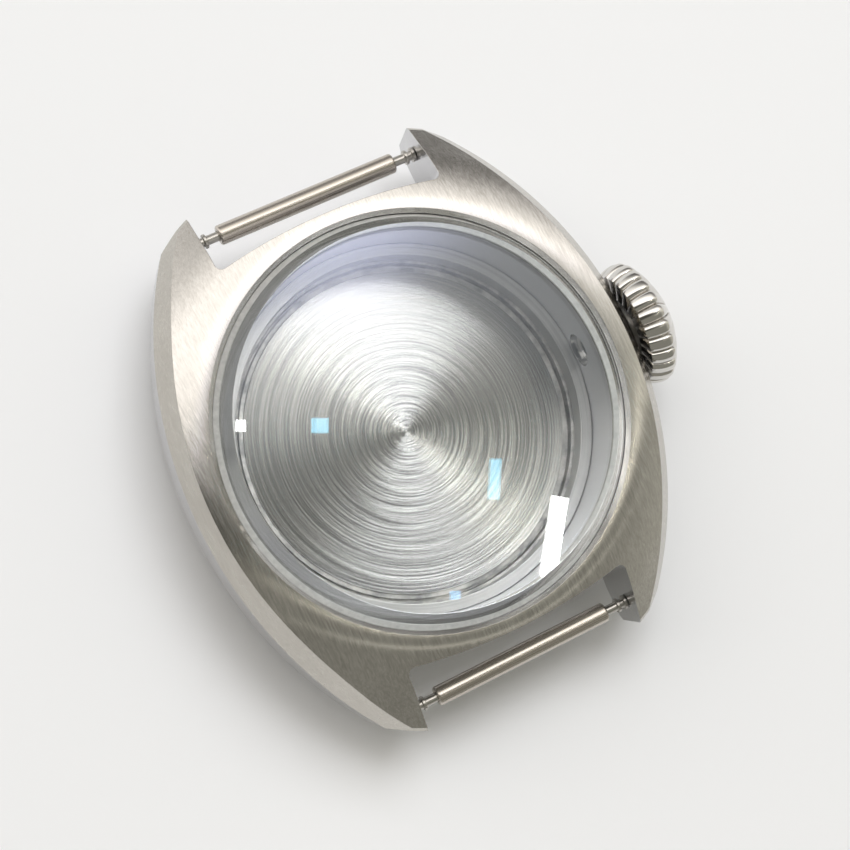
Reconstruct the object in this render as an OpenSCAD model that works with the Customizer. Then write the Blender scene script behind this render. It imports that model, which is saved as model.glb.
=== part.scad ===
// Empty watch case with a flat crystal, a fluted onion crown, a screw-down back and two spring bars.
// Origin: centre of the outer face of the back. +Z is up through the crystal, +Y is 12 o'clock,
// +X is 3 o'clock, where the crown sits.

/* [Case body] */
// Width across the case body, without the crown
case_w = 35.62; // [34.5:0.1:38]
// Height of the crystal's rim above the outer face of the back
rim_z = 10; // [9.6:0.1:11.5]
// Plan radius of each long side
side_r = 32; // [30:0.5:38]
// Free width between the lugs
lug_gap = 18; // [16:0.5:19]
// Width of the case edge between the lugs, out from the crystal's seat
gap_edge_w = 1.25; // [1.1:0.05:1.5]
// Plan radius of the case edge between the lugs
gap_edge_r = 45; // [36:1:60]
// Radius in the corner where a lug meets that edge
gap_corner_r = 0.5; // [0.3:0.05:0.9]
// Wall of the barrel under the lugs, out from the back's thread
barrel_wall = 1.8; // [1.5:0.05:2]
// Width of the small chamfers on the barrel and the lug tips
edge_chamfer = 0.4; // [0.2:0.05:0.6]

/* [Top and bevel] */
// Width of the flat round the rim, before the top begins to bend down
top_flat_w = 0.07; // [0.05:0.01:0.2]
// Slope in degrees that the bend reaches and the lug tips keep
top_slope = 33; // [30:0.5:35]
// Radius of the long bend from the rim towards the lug tips
top_bend_r = 8.5; // [7.5:0.1:9]
// Width of the bevel along each long side, seen from above
bevel_w = 1.05; // [0.7:0.05:1.4]
// Height of that bevel
bevel_h = 1.62; // [1.2:0.05:2]
// Radius of the bevel's own curve along the side
bevel_r = 31; // [29.5:0.5:33]

/* [Lugs] */
// Length of the lugs, out from the case edge between them
lug_reach = 5.85; // [5.4:0.05:6.5]
// Height of the lug's underside at the barrel
lug_root_z = 4.9; // [4.4:0.1:5.2]
// Height of the lug's underside at its lowest
lug_low_z = 3.15; // [2.8:0.05:3.6]
// Distance from the barrel out to where the underside is lowest
lug_arc_w = 3.7; // [3.3:0.1:4]
// Inward slope of the turned lug end, over the height of the tip
lug_end_slant = 0.3; // [0:0.05:0.5]

/* [Inside] */
// Width of the rim, from the side of the case in to the crystal's seat
rim_w = 2.61; // [2.4:0.05:2.9]
// Width of the step under the crystal's gasket
seat_w = 1.2; // [1:0.05:1.3]
// Width of the polished chamfer round the crystal's rim
rim_chamfer = 0.29; // [0.15:0.02:0.4]
// Height of the movement ring's ledge above the back face
ledge_z = 4.3; // [3.9:0.1:4.6]
// Width of that ledge, in from the case's inner wall
ledge_w = 0.92; // [0.8:0.02:1.1]
// Thickness of the flange that holds the movement ring
ring_flange_t = 0.4; // [0.3:0.05:0.5]
// How far that flange stands out from the wall
ring_flange_w = 0.35; // [0.25:0.05:0.45]

/* [Crystal] */
// Width that the gasket's upright wall takes round the crystal
gasket_wall = 0.48; // [0.4:0.02:0.6]
// Thickness of the crystal
crystal_t = 2.2; // [1.8:0.05:2.6]
// How far the crystal stands above the rim
crystal_rise = 1.69; // [1.2:0.05:1.8]
// Width of the crystal's top chamfer
crystal_chamfer_w = 0.68; // [0.4:0.02:0.9]
// Height of the crystal's top chamfer
crystal_chamfer_h = 1.09; // [0.6:0.02:1.1]
// Thickness of the gasket's flange under the crystal
gasket_flange_t = 0.3; // [0.2:0.05:0.4]
// Depth of the gasket's top below the rim
gasket_sink = 0.18; // [0.1:0.02:0.3]

/* [Back] */
// Thickness of the back's flange
back_flange_t = 1.5; // [1.3:0.05:1.6]
// Width of the back's flange, out from its thread
back_flange_w = 1.15; // [1.1:0.05:1.3]
// How far the back's screw thread stands out from the case's inner wall
thread_step = 0.6; // [0.5:0.02:0.7]
// Pitch of the back's screw thread
thread_pitch = 0.5; // [0.35:0.05:0.6]
// Height of the thread above the flange
thread_h = 0.95; // [0.8:0.05:1]
// Depth of the thread's grooves
thread_d = 0.12; // [0.08:0.01:0.16]
// Height of the turned inner face above the outer face
back_inner_z = 2.1; // [1.9:0.05:2.2]
// Width from the thread in to the turned inner face
back_wall_w = 2.3; // [2:0.05:2.6]
// Width of the rough ring round the turned face
back_ring_w = 0.36; // [0.25:0.02:0.4]
// Width of the groove inside the threaded wall
back_groove_w = 0.2; // [0.15:0.02:0.25]
// Depth of that groove
back_groove_d = 0.5; // [0.3:0.05:0.6]
// Number of wrench notches
notch_n = 6; // [4:1:12]
// Width of a wrench notch
notch_w = 2.4; // [1.5:0.1:3]
// Length of a wrench notch, inward from the edge
notch_l = 1.9; // [1.2:0.1:2.1]
// Depth of a wrench notch
notch_d = 0.6; // [0.4:0.05:0.7]
// Width of the back gasket
back_gasket_w = 0.45; // [0.35:0.02:0.5]
// Height of the back gasket
back_gasket_h = 0.5; // [0.35:0.02:0.6]

/* [Crown] */
// Height of the crown's axis above the back face
crown_z = 5.6; // [5.5:0.05:5.9]
// Gap between the case side and the crown
crown_gap = 0.34; // [0.25:0.02:0.5]
// How far the crown swells out from its inner face to its widest place
belly_rise = 0.47; // [0.4:0.02:0.6]
// Distance from the inner face to the widest place
crown_belly = 1.5; // [1.4:0.05:1.7]
// Length of the crown
crown_l = 3.57; // [3.4:0.05:4]
// Radius of the crown's shoulder
crown_shoulder_r = 0.6; // [0.4:0.05:0.9]
// Number of flutes
flute_n = 24; // [16:1:30]
// Width of a flute's groove
flute_w = 0.26; // [0.16:0.02:0.36]
// Depth of a flute's groove
flute_d = 0.34; // [0.2:0.02:0.4]
// How far in from the crown's widest place the flutes run out on the dome
flute_reach = 1.92; // [1.6:0.05:2.2]

/* [Crown tube and core] */
// Radius of the crown tube in the case
tube_r = 1.3; // [1.2:0.02:1.4]
// How much thicker the tube is over its shoulder
tube_neck_t = 0.2; // [0.14:0.02:0.3]
// Wall of the tube round its bore
tube_wall = 0.55; // [0.5:0.01:0.6]
// Depth of the tube's inner end behind the wall
tube_recess = 0.55; // [0.3:0.05:0.8]
// Thickness of the tube's shoulder against the case side
tube_shoulder_t = 0.25; // [0.15:0.02:0.3]
// Free length of the crown's pull
crown_pull = 0.9; // [0.7:0.05:1]
// Width of the crown's inner face round the core
crown_face_w = 1.55; // [1.45:0.02:1.65]
// Depth of the core's mouth inside the crown
core_inset = 0.2; // [0.1:0.02:0.3]
// Thickness of the core's end wall
core_end_t = 0.35; // [0.25:0.02:0.4]
// Wall of the core round its washer
core_wall = 0.45; // [0.35:0.02:0.5]
// Width of the seat that the washer rests on
washer_seat_w = 0.4; // [0.3:0.02:0.45]
// Width of the core's recess round the tube, which the crown's gasket fills
core_recess_w = 0.5; // [0.4:0.02:0.6]
// Thickness of the gasket's washer
washer_t = 0.25; // [0.2:0.02:0.3]
// Width of the crown's gasket along the axis
crown_gasket_w = 0.45; // [0.35:0.02:0.5]
// Length of the post beyond the core's mouth
post_l = 1.2; // [0.8:0.1:1.6]
// Wall of the post round the stem hole
post_wall = 0.2; // [0.16:0.01:0.24]
// Depth of the stem hole
stem_l = 2.6; // [2:0.1:3]
// Wall of the tube's mouth round the stem gasket
mouth_wall = 0.4; // [0.3:0.02:0.45]
// Depth of the stem gasket's seat in that mouth
stem_gasket_w = 0.5; // [0.4:0.02:0.6]

/* [Spring bars] */
// Distance of the bars in from the lug ends
bar_set = 3.7; // [3.4:0.05:4]
// Height of the bars above the back face
bar_z = 6; // [5.6:0.05:6.3]
// Radius of a bar's tube
bar_r = 0.75; // [0.65:0.01:0.85]
// Free length of a pin between the tube and the lug
bar_pin_free = 1.8; // [1.6:0.05:2]
// Wall of a bar's tube
bar_wall = 0.17; // [0.12:0.01:0.19]
// Length of the tube's drawn-in end
bar_lip = 0.5; // [0.4:0.02:0.6]
// Wall of the drawn-in end round a pin's shank
bar_lip_wall = 0.34; // [0.3:0.01:0.4]
// How far a pin's two flanges stand out from its shank
pin_flange_w = 0.19; // [0.14:0.01:0.24]
// Thickness of a pin's flange
pin_flange_t = 0.24; // [0.18:0.02:0.3]
// Length of the shank between the flanges
pin_neck = 0.34; // [0.25:0.02:0.4]
// Length of a pin's tip in the lug
pin_tip_l = 0.84; // [0.7:0.02:0.9]
// How far a pin's tip stands out from its shank
pin_tip_w = 0.04; // [0:0.01:0.1]
// Depth of the blind hole in a lug beyond the pin's tip
lug_hole_end = 0.36; // [0.2:0.02:0.5]
// Length of the pin's head inside the tube
pin_head_l = 0.9; // [0.6:0.05:1.1]

/* [Clearances] */
// Radial clearance of a pin, post or tube that turns or slides
run_gap = 0.05; // [0.03:0.01:0.08]
// Gap between a gasket and what it seals
seal_gap = 0.02; // [0.01:0.005:0.03]
// Gap between faces that meet at the end of a travel
stop_gap = 0.04; // [0.03:0.01:0.08]

/* [Hidden] */
$fn = 96;
// One overrun for every cut that leaves the solid
over = 1;
half_w = case_w / 2;
half_gap = lug_gap / 2;

// Radii, from the side of the case inwards and out again
seat_r = half_w - rim_w;
wall_r = seat_r - seat_w;
crystal_r = seat_r - gasket_wall;
ledge_r = wall_r - ledge_w;
thread_r = wall_r + thread_step;
barrel_r = thread_r + barrel_wall;
back_flange_r = thread_r + back_flange_w;
back_inner_r = thread_r - back_wall_w;
top_bend_in = top_bend_r * tan(top_slope / 2);
top_turn_r = seat_r + rim_chamfer + top_flat_w + top_bend_in;
gap_edge_y = seat_r + gap_edge_w;
lug_end_r = gap_edge_y + lug_reach;
lug_low_r = barrel_r + lug_arc_w;
bar_y = lug_end_r - bar_set;

steel_colour = [0.66, 0.64, 0.6];
bright_colour = [0.78, 0.78, 0.77];
glass_colour = [0.8, 0.87, 0.92, 0.35];
nylon_colour = [0.62, 0.6, 0.57];
rubber_colour = [0.12, 0.12, 0.12];

// Height of the top surface at a radius on the cone
function cone_z(r) = rim_z - (r - top_turn_r) * tan(top_slope);
bend_c = [top_turn_r - top_bend_in, rim_z - top_bend_r];
top_bend_steps = 12;

// Radius of the arc under a lug, through its root and its lowest place
lug_arc_h = lug_root_z - lug_low_z;
lug_arc_r = (lug_arc_w * lug_arc_w + lug_arc_h * lug_arc_h) / (2 * lug_arc_h);
lug_arc_turn = asin(lug_arc_w / lug_arc_r);
lug_arc_steps = 8;

crystal_top = rim_z + crystal_rise;
crystal_low = crystal_top - crystal_t;
seat_z = crystal_low - gasket_flange_t;
ring_seat_z = back_flange_t + thread_h + stop_gap + ring_flange_t;

// Radii from the crown tube out to the crown
tube_bore_r = tube_r - tube_wall;
tube_neck_r = tube_r + tube_neck_t;
core_recess_r = tube_neck_r + core_recess_w;
washer_r = core_recess_r + washer_seat_w;
core_r = washer_r + core_wall;
crown_inner_r = core_r + crown_face_w;
crown_r = crown_inner_r + belly_rise;
flute_end_r = crown_r - flute_reach;
post_r = tube_bore_r - 2 * run_gap;
stem_r = post_r - post_wall;
stem_gasket_r = tube_neck_r - mouth_wall;

crown_x = half_w + crown_gap;
core_x = crown_x + core_inset;
washer_end_x = core_x + washer_t;
gasket_x = washer_end_x + seal_gap;
tube_in_x = wall_r + tube_recess;
// The gasket stays on the tube when the crown is pulled out
tube_end_x = gasket_x + crown_gasket_w + crown_pull + 2 * stop_gap;
recess_end_x = tube_end_x + 5 * run_gap;
core_end_x = recess_end_x + core_end_t;

// Radius of the crown's dome, tangent to its shoulder
dome_off = crown_l - crown_belly;
dome_r = (dome_off * dome_off + pow(crown_r - crown_shoulder_r, 2) - pow(crown_shoulder_r, 2))
    / (2 * (dome_off - crown_shoulder_r));
dome_c = crown_l - dome_r;
// Radius of the crown's belly, from its inner face to its widest place
belly_r = (crown_belly * crown_belly + belly_rise * belly_rise) / (2 * belly_rise);
// Place where the dome meets the shoulder
shoulder_span = dome_r - crown_shoulder_r;
shoulder_a = crown_belly + crown_shoulder_r * (crown_belly - dome_c) / shoulder_span;

bar_half = half_gap - bar_pin_free;
bar_bore_r = bar_r - bar_wall;
shank_r = bar_r - bar_lip_wall - run_gap;
pin_flange_r = shank_r + pin_flange_w;
pin_tip_r = shank_r + pin_tip_w;
tip_x = half_gap + pin_tip_l;
flange_out_x = half_gap - stop_gap;
flange_in_x = flange_out_x - pin_flange_t - pin_neck - pin_flange_t;
head_out_x = bar_half - bar_lip - 5 * run_gap;
head_in_x = head_out_x - pin_head_l;
spring_half = head_in_x - stop_gap;

// A solid turned about +Z from an outline of radius and height
module turned(points) rotate_extrude() polygon(points);

// A ring between two radii and two heights
module ring(r_in, r_out, z_low, z_high)
    turned([[r_in, z_low], [r_out, z_low], [r_out, z_high], [r_in, z_high]]);

// Places what is built along +Z on the crown's axis, pointing outwards
module on_crown_axis() translate([0, 0, crown_z]) rotate([0, 90, 0]) children();

// Points along an arc of radius and height, by the angle from straight up, in short straight steps
function arc_points(centre, radius, from, to, steps) = [
    for (step = [0 : steps]) let (turn = from + (to - from) * step / steps)
        [centre[0] + radius * sin(turn), centre[1] + radius * cos(turn)]
];

// The case's outer form about +Z: flat rim, long bend, lug cone, lug end, underside and barrel
module case_blank_outline() {
    polygon(concat(
        [
            [0, back_flange_t],
            [barrel_r - edge_chamfer, back_flange_t],
            [barrel_r, back_flange_t + edge_chamfer]
        ],
        arc_points([lug_low_r, lug_low_z + lug_arc_r], lug_arc_r, 180 + lug_arc_turn, 180, lug_arc_steps),
        [
            [lug_end_r - lug_end_slant - edge_chamfer, lug_low_z],
            [lug_end_r - lug_end_slant, lug_low_z + edge_chamfer],
            [lug_end_r, cone_z(lug_end_r) - edge_chamfer / 2],
            [lug_end_r - edge_chamfer / 2, cone_z(lug_end_r - edge_chamfer / 2)]
        ],
        arc_points(bend_c, top_bend_r, top_slope, 0, top_bend_steps),
        [[0, rim_z]]
    ));
}

// What is turned out of the inside, from the crystal's seat down to the thread
module case_bore_outline() {
    polygon([
        [0, back_flange_t - over],
        [thread_r + run_gap + over, back_flange_t - over],
        [thread_r + run_gap, back_flange_t],
        [thread_r + run_gap, ring_seat_z],
        [wall_r, ring_seat_z],
        [wall_r, seat_z],
        [seat_r, seat_z],
        [seat_r, rim_z - rim_chamfer],
        [seat_r + rim_chamfer, rim_z],
        [seat_r + rim_chamfer, rim_z + over],
        [0, rim_z + over]
    ]);
}

// The plan of the case: two long side curves, less the gaps between the lugs
module case_plan() {
    difference() {
        intersection() {
            translate([half_w - side_r, 0]) circle(side_r);
            translate([side_r - half_w, 0]) circle(side_r);
        }
        for (side = [0, 1]) mirror([0, side]) lug_gap_plan();
    }
}

// One gap between the lugs, with a curved case edge and small corner radii
module lug_gap_plan() {
    edge_c = gap_edge_y - gap_edge_r;
    corner_x = half_gap - gap_corner_r;
    corner_y = edge_c + sqrt(pow(gap_edge_r + gap_corner_r, 2) - corner_x * corner_x);
    difference() {
        translate([-half_gap, 0]) square([lug_gap, side_r]);
        translate([0, edge_c]) circle(gap_edge_r);
        for (side = [0, 1]) mirror([side, 0]) difference() {
            translate([corner_x, 0]) square([gap_corner_r + over, corner_y]);
            translate([corner_x, corner_y]) circle(gap_corner_r);
        }
    }
}

// The curved surface that cuts one long bevel, a large cylinder leaning outwards
module bevel_cylinder() {
    lean = atan(bevel_w / bevel_h);
    translate([half_w, 0, rim_z - bevel_h])
        rotate([0, 180 - lean, 0])
            translate([bevel_r, 0, 0])
                cylinder(r = bevel_r, h = 4 * bevel_r, center = true, $fn = 360);
}

module mid_case() color(steel_colour) difference() {
    intersection() {
        rotate_extrude() difference() {
            case_blank_outline();
            case_bore_outline();
        }
        linear_extrude(height = crystal_top) case_plan();
        bevel_cylinder();
        mirror([1, 0, 0]) bevel_cylinder();
    }
    on_crown_axis() cylinder(r = tube_r, h = half_w + over);
    on_crown_axis() translate([0, 0, half_w - tube_shoulder_t]) cylinder(r = tube_neck_r + run_gap, h = over);
    for (x_side = [0, 1]) for (y_side = [0, 1]) mirror([x_side, 0, 0]) mirror([0, y_side, 0])
        translate([half_gap - over, bar_y, bar_z]) rotate([0, 90, 0])
            cylinder(r = pin_tip_r + run_gap, h = pin_tip_l + lug_hole_end + over);
}

module crystal() color(glass_colour) turned([
    [0, crystal_low],
    [crystal_r, crystal_low],
    [crystal_r, crystal_top - crystal_chamfer_h],
    [crystal_r - crystal_chamfer_w, crystal_top],
    [0, crystal_top]
]);

// The crystal's gasket has an upright wall and a flange under the crystal
module crystal_gasket() color(nylon_colour) turned([
    [wall_r + seal_gap, seat_z + seal_gap],
    [seat_r - seal_gap, seat_z + seal_gap],
    [seat_r - seal_gap, rim_z - rim_chamfer - gasket_sink],
    [crystal_r + seal_gap, rim_z - rim_chamfer - gasket_sink],
    [crystal_r + seal_gap, crystal_low - seal_gap],
    [wall_r + seal_gap, crystal_low - seal_gap]
]);

// The movement ring is held by its flange between the case's step and the back's thread wall
module movement_ring() color(steel_colour) turned([
    [ledge_r, back_flange_t + thread_h + stop_gap],
    [wall_r + ring_flange_w, back_flange_t + thread_h + stop_gap],
    [wall_r + ring_flange_w, ring_seat_z],
    [wall_r - seal_gap, ring_seat_z],
    [wall_r - seal_gap, ledge_z],
    [ledge_r, ledge_z]
]);

// The back's threaded wall, with one turned groove for each turn of the thread
module back_thread_outline() {
    turns = floor(thread_h / thread_pitch);
    difference() {
        translate([back_inner_r, 0]) square([thread_r - back_inner_r, back_flange_t + thread_h]);
        for (turn = [1 : turns]) translate([thread_r, back_flange_t + (turn - 1 / 2) * thread_pitch])
            polygon([[-thread_d, 0], [over, -over], [over, over]]);
    }
}

module case_back() color(steel_colour) difference() {
    rotate_extrude() difference() {
        union() {
            polygon([
                [0, 0],
                [back_flange_r - back_flange_t / 2, 0],
                [back_flange_r, back_flange_t / 2],
                [back_flange_r, back_flange_t],
                [0, back_flange_t]
            ]);
            square([back_inner_r, back_inner_z]);
            back_thread_outline();
        }
        back_step_outline();
    }
    for (notch = [0 : notch_n - 1]) rotate([0, 0, 360 * notch / notch_n])
        translate([back_flange_r - notch_l, -notch_w / 2, -over])
            cube([notch_l + over, notch_w, notch_d + over]);
}

// What is turned off between the inner face and the thread: a rough ring, a groove, and the gasket's seat
module back_step_outline() {
    ring_out = back_inner_r + back_ring_w;
    translate([back_inner_r, back_inner_z - back_groove_d / 5])
        square([back_ring_w + back_groove_w, thread_h]);
    translate([ring_out, back_inner_z - back_groove_d])
        square([back_groove_w, thread_h + back_groove_d]);
    translate([thread_r + run_gap, back_flange_t - back_gasket_h])
        square([back_gasket_w, back_gasket_h + over]);
}

module case_back_gasket() color(rubber_colour)
    ring(thread_r + run_gap + seal_gap, thread_r + run_gap + back_gasket_w - seal_gap,
        back_flange_t - back_gasket_h + seal_gap, back_flange_t - seal_gap);

// The tube is pressed into the case and its shoulder rests in a recess of the case side
module crown_tube() color(bright_colour) on_crown_axis() turned([
    [tube_bore_r, tube_in_x],
    [tube_r, tube_in_x],
    [tube_r, half_w - tube_shoulder_t],
    [tube_neck_r, half_w - tube_shoulder_t],
    [tube_neck_r, tube_end_x],
    [stem_gasket_r, tube_end_x],
    [stem_gasket_r, tube_end_x - stem_gasket_w],
    [tube_bore_r, tube_end_x - stem_gasket_w]
]);

module stem_gasket() color(rubber_colour) on_crown_axis()
    ring(post_r + run_gap, stem_gasket_r - seal_gap,
        tube_end_x - stem_gasket_w + seal_gap, tube_end_x - seal_gap);

module crown_gasket() color(rubber_colour) on_crown_axis()
    ring(tube_neck_r + run_gap, core_recess_r - run_gap, gasket_x, gasket_x + crown_gasket_w);

module crown_washer() color(bright_colour) on_crown_axis()
    ring(tube_neck_r + run_gap, washer_r - run_gap, core_x, washer_end_x - seal_gap);

// The core is pressed into the crown: a cup round the tube, with a post that takes the stem
module crown_core() color(steel_colour) on_crown_axis() turned([
    [0, core_end_x],
    [core_r, core_end_x],
    [core_r, core_x],
    [washer_r, core_x],
    [washer_r, washer_end_x],
    [core_recess_r, washer_end_x],
    [core_recess_r, recess_end_x],
    [post_r, recess_end_x],
    [post_r, core_x - post_l],
    [stem_r, core_x - post_l],
    [stem_r, core_x - post_l + stem_l],
    [0, core_x - post_l + stem_l]
]);

// Half outline of the crown: radius across, distance from its inner face along
module crown_outline(skin) {
    square([crown_r - belly_r, crown_belly]);
    intersection() {
        translate([crown_r - belly_r, crown_belly]) circle(belly_r - skin);
        square([crown_r, crown_belly]);
    }
    translate([0, crown_belly]) square([crown_r - crown_shoulder_r, shoulder_a - crown_belly]);
    translate([crown_r - crown_shoulder_r, crown_belly]) circle(crown_shoulder_r - skin);
    intersection() {
        translate([0, dome_c]) circle(dome_r - skin);
        translate([0, shoulder_a]) square([crown_r, crown_l]);
    }
}

// The grooves follow the crown's outline at one depth and run out on the dome
module crown_cap() color(bright_colour) on_crown_axis() translate([0, 0, crown_x]) difference() {
    rotate_extrude() crown_outline(0);
    translate([0, 0, -over]) cylinder(r = core_r, h = core_end_x - crown_x + over);
    intersection() {
        difference() {
            translate([0, 0, -over]) cylinder(r = crown_r + over, h = crown_l + 2 * over);
            rotate_extrude() crown_outline(flute_d);
        }
        for (flute = [0 : flute_n - 1]) rotate([0, 0, 360 * flute / flute_n])
            translate([flute_end_r, -flute_w / 2, -over]) cube([crown_r, flute_w, crown_l + 2 * over]);
    }
}

// Puts one bar's piece in place: side 0 is 12 o'clock and 1 is 6 o'clock, along +X from the middle
module on_bar(side, left) mirror([0, side, 0]) mirror([left, 0, 0])
    translate([0, bar_y, bar_z]) rotate([0, 90, 0]) children();

// Half a tube with its drawn-in end, both halves joined in the middle
module bar_tube() color(bright_colour) turned([
    [bar_bore_r, bar_lip - bar_half],
    [shank_r + run_gap, bar_lip - bar_half],
    [shank_r + run_gap, -bar_half],
    [bar_r - bar_wall, -bar_half],
    [bar_r, bar_wall - bar_half],
    [bar_r, bar_half - bar_wall],
    [bar_r - bar_wall, bar_half],
    [shank_r + run_gap, bar_half],
    [shank_r + run_gap, bar_half - bar_lip],
    [bar_bore_r, bar_half - bar_lip]
]);

module bar_spring() color(steel_colour)
    ring(shank_r, bar_bore_r - run_gap, -spring_half, spring_half);

// A pin from its head in the tube to its tip in the lug, with two flanges for the spring-bar tool
module bar_pin() color(bright_colour) turned([
    [0, head_in_x],
    [bar_bore_r - run_gap, head_in_x],
    [bar_bore_r - run_gap, head_out_x],
    [shank_r, head_out_x],
    [shank_r, flange_in_x],
    [pin_flange_r, flange_in_x],
    [pin_flange_r, flange_in_x + pin_flange_t],
    [shank_r, flange_in_x + pin_flange_t],
    [shank_r, flange_out_x - pin_flange_t],
    [pin_flange_r, flange_out_x - pin_flange_t],
    [pin_flange_r, flange_out_x],
    [pin_tip_r, flange_out_x],
    [pin_tip_r, tip_x - pin_tip_r / 4],
    [pin_tip_r * 3 / 4, tip_x],
    [0, tip_x]
]);

module bar_12_tube() on_bar(0, 0) bar_tube();
module bar_12_spring() on_bar(0, 0) bar_spring();
module bar_12_pin_left() on_bar(0, 1) bar_pin();
module bar_12_pin_right() on_bar(0, 0) bar_pin();
module bar_6_tube() on_bar(1, 0) bar_tube();
module bar_6_spring() on_bar(1, 0) bar_spring();
module bar_6_pin_left() on_bar(1, 1) bar_pin();
module bar_6_pin_right() on_bar(1, 0) bar_pin();

mid_case();
crystal();
crystal_gasket();
movement_ring();
case_back();
case_back_gasket();
crown_tube();
stem_gasket();
crown_gasket();
crown_washer();
crown_core();
crown_cap();
bar_12_tube();
bar_12_spring();
bar_12_pin_left();
bar_12_pin_right();
bar_6_tube();
bar_6_spring();
bar_6_pin_left();
bar_6_pin_right();
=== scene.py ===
# An empty watch case on a pale table, seen from above and a little to the left.
import math

import bmesh
import bpy
from mathutils import Matrix, Vector


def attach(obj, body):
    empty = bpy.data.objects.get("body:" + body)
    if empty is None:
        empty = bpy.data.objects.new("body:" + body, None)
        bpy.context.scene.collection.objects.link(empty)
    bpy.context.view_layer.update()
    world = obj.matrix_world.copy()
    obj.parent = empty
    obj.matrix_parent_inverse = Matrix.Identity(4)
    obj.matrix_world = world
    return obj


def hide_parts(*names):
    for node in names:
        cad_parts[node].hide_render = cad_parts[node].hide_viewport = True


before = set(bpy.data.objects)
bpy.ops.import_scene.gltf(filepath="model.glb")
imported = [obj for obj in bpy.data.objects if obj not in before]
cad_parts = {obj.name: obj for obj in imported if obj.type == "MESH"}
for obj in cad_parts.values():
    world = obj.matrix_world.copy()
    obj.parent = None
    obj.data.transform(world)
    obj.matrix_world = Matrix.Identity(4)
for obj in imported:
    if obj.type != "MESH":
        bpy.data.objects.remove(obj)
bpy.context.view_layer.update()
scene = bpy.context.scene
mm = 0.001
print("frame loaded:", len(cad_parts), "nodes")


# ---- node helpers for materials
def addNode(tree, kind, inputs=None, **settings):
    node = tree.nodes.new(kind)
    for key, value in settings.items():
        setattr(node, key, value)
    for key, value in (inputs or {}).items():
        if isinstance(value, bpy.types.NodeSocket):
            tree.links.new(value, node.inputs[key])
        else:
            node.inputs[key].default_value = value
    return node


def startMaterial(name, baseColour, metallic, roughness, **extra):
    material = bpy.data.materials.new(name)
    material.use_nodes = True
    tree = material.node_tree
    shader = tree.nodes["Principled BSDF"]
    shader.inputs["Base Color"].default_value = (*baseColour, 1)
    shader.inputs["Metallic"].default_value = metallic
    shader.inputs["Roughness"].default_value = roughness
    for key, value in extra.items():
        shader.inputs[key].default_value = value
    coords = addNode(tree, "ShaderNodeTexCoord").outputs["Object"]
    return material, tree, shader, coords


def noiseAt(tree, place, detail, roughness):
    return addNode(tree, "ShaderNodeTexNoise", {"Vector": place, "Scale": 1.0, "Detail": detail, "Roughness": roughness}).outputs["Fac"]


def stretchedNoise(tree, coords, perMetre, detail=4.0, turn=(0, 0, 0), roughness=0.6):
    # the coordinates are turned first, then stretched
    turned = addNode(tree, "ShaderNodeMapping", {"Vector": coords, "Rotation": turn}).outputs[0]
    mapping = addNode(tree, "ShaderNodeMapping", {"Vector": turned, "Scale": perMetre})
    return noiseAt(tree, mapping.outputs[0], detail, roughness)


def remap(tree, value, low, high, fromLow=0.0, fromHigh=1.0):
    ends = {"Value": value, "From Min": fromLow, "From Max": fromHigh, "To Min": low, "To Max": high}
    return addNode(tree, "ShaderNodeMapRange", ends).outputs[0]


def calculate(tree, operation, first, second=0.5, third=0.5):
    return addNode(tree, "ShaderNodeMath", {0: first, 1: second, 2: third}, operation=operation).outputs[0]


def tintBetween(tree, factor, dark, light):
    mix = addNode(tree, "ShaderNodeMix", {0: factor}, data_type="RGBA")
    mix.inputs[6].default_value = (*dark, 1)
    mix.inputs[7].default_value = (*light, 1)
    return mix.outputs[2]


def bumpFrom(tree, height, strength, distance, normal=None):
    bump = addNode(tree, "ShaderNodeBump", {"Height": height, "Strength": strength, "Distance": distance})
    if normal is not None:
        tree.links.new(normal, bump.inputs["Normal"])
    return bump.outputs[0]


def edgeNormal(tree, radius):
    return addNode(tree, "ShaderNodeBevel", {"Radius": radius}, samples=4).outputs[0]


# ---- finishes
brushing = {
    "acrossPerMetre": 8000.0, "alongPerMetre": 650.0, "cloudPerMetre": 130, "broadShare": 0.35, "cloudShare": 0.3,
    "strength": 0.55, "depth": 0.000012, "edgeRadius": 0.00007,
}


def makeBrushedSteel(name, dark, light, roughLow, roughHigh, turn=(0, 0, 0), depth=1.0, anisotropy=0.0, along=brushing["alongPerMetre"]):
    # long fine scratches along Y, turned with turn, over slow changes of tone; with anisotropy, light spreads along X
    material, tree, shader, coords = startMaterial(name, light, 1.0, roughLow)
    across, slow = brushing["acrossPerMetre"], brushing["cloudPerMetre"]
    fine = stretchedNoise(tree, coords, (across, along, across), 5.0, turn)
    broad = stretchedNoise(tree, coords, (across / 6, along / 2, across / 6), 3.0, turn)
    cloud = stretchedNoise(tree, coords, (slow, slow, slow), 2.0)
    streaks = calculate(tree, "MULTIPLY_ADD", broad, brushing["broadShare"], fine)
    tone = calculate(tree, "MULTIPLY_ADD", cloud, brushing["cloudShare"], streaks)
    shader.inputs["Anisotropic"].default_value = anisotropy
    if anisotropy:
        alongX = addNode(tree, "ShaderNodeCombineXYZ", {0: 1, 1: 0, 2: 0})
        tree.links.new(alongX.outputs[0], shader.inputs["Tangent"])
    tree.links.new(tintBetween(tree, remap(tree, tone, 0, 1, 0.6, 1.05), dark, light), shader.inputs["Base Color"])
    tree.links.new(remap(tree, streaks, roughLow, roughHigh, 0.45, 0.9), shader.inputs["Roughness"])
    bump = bumpFrom(tree, streaks, brushing["strength"] * depth, brushing["depth"], edgeNormal(tree, brushing["edgeRadius"]))
    tree.links.new(bump, shader.inputs["Normal"])
    return material


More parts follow.
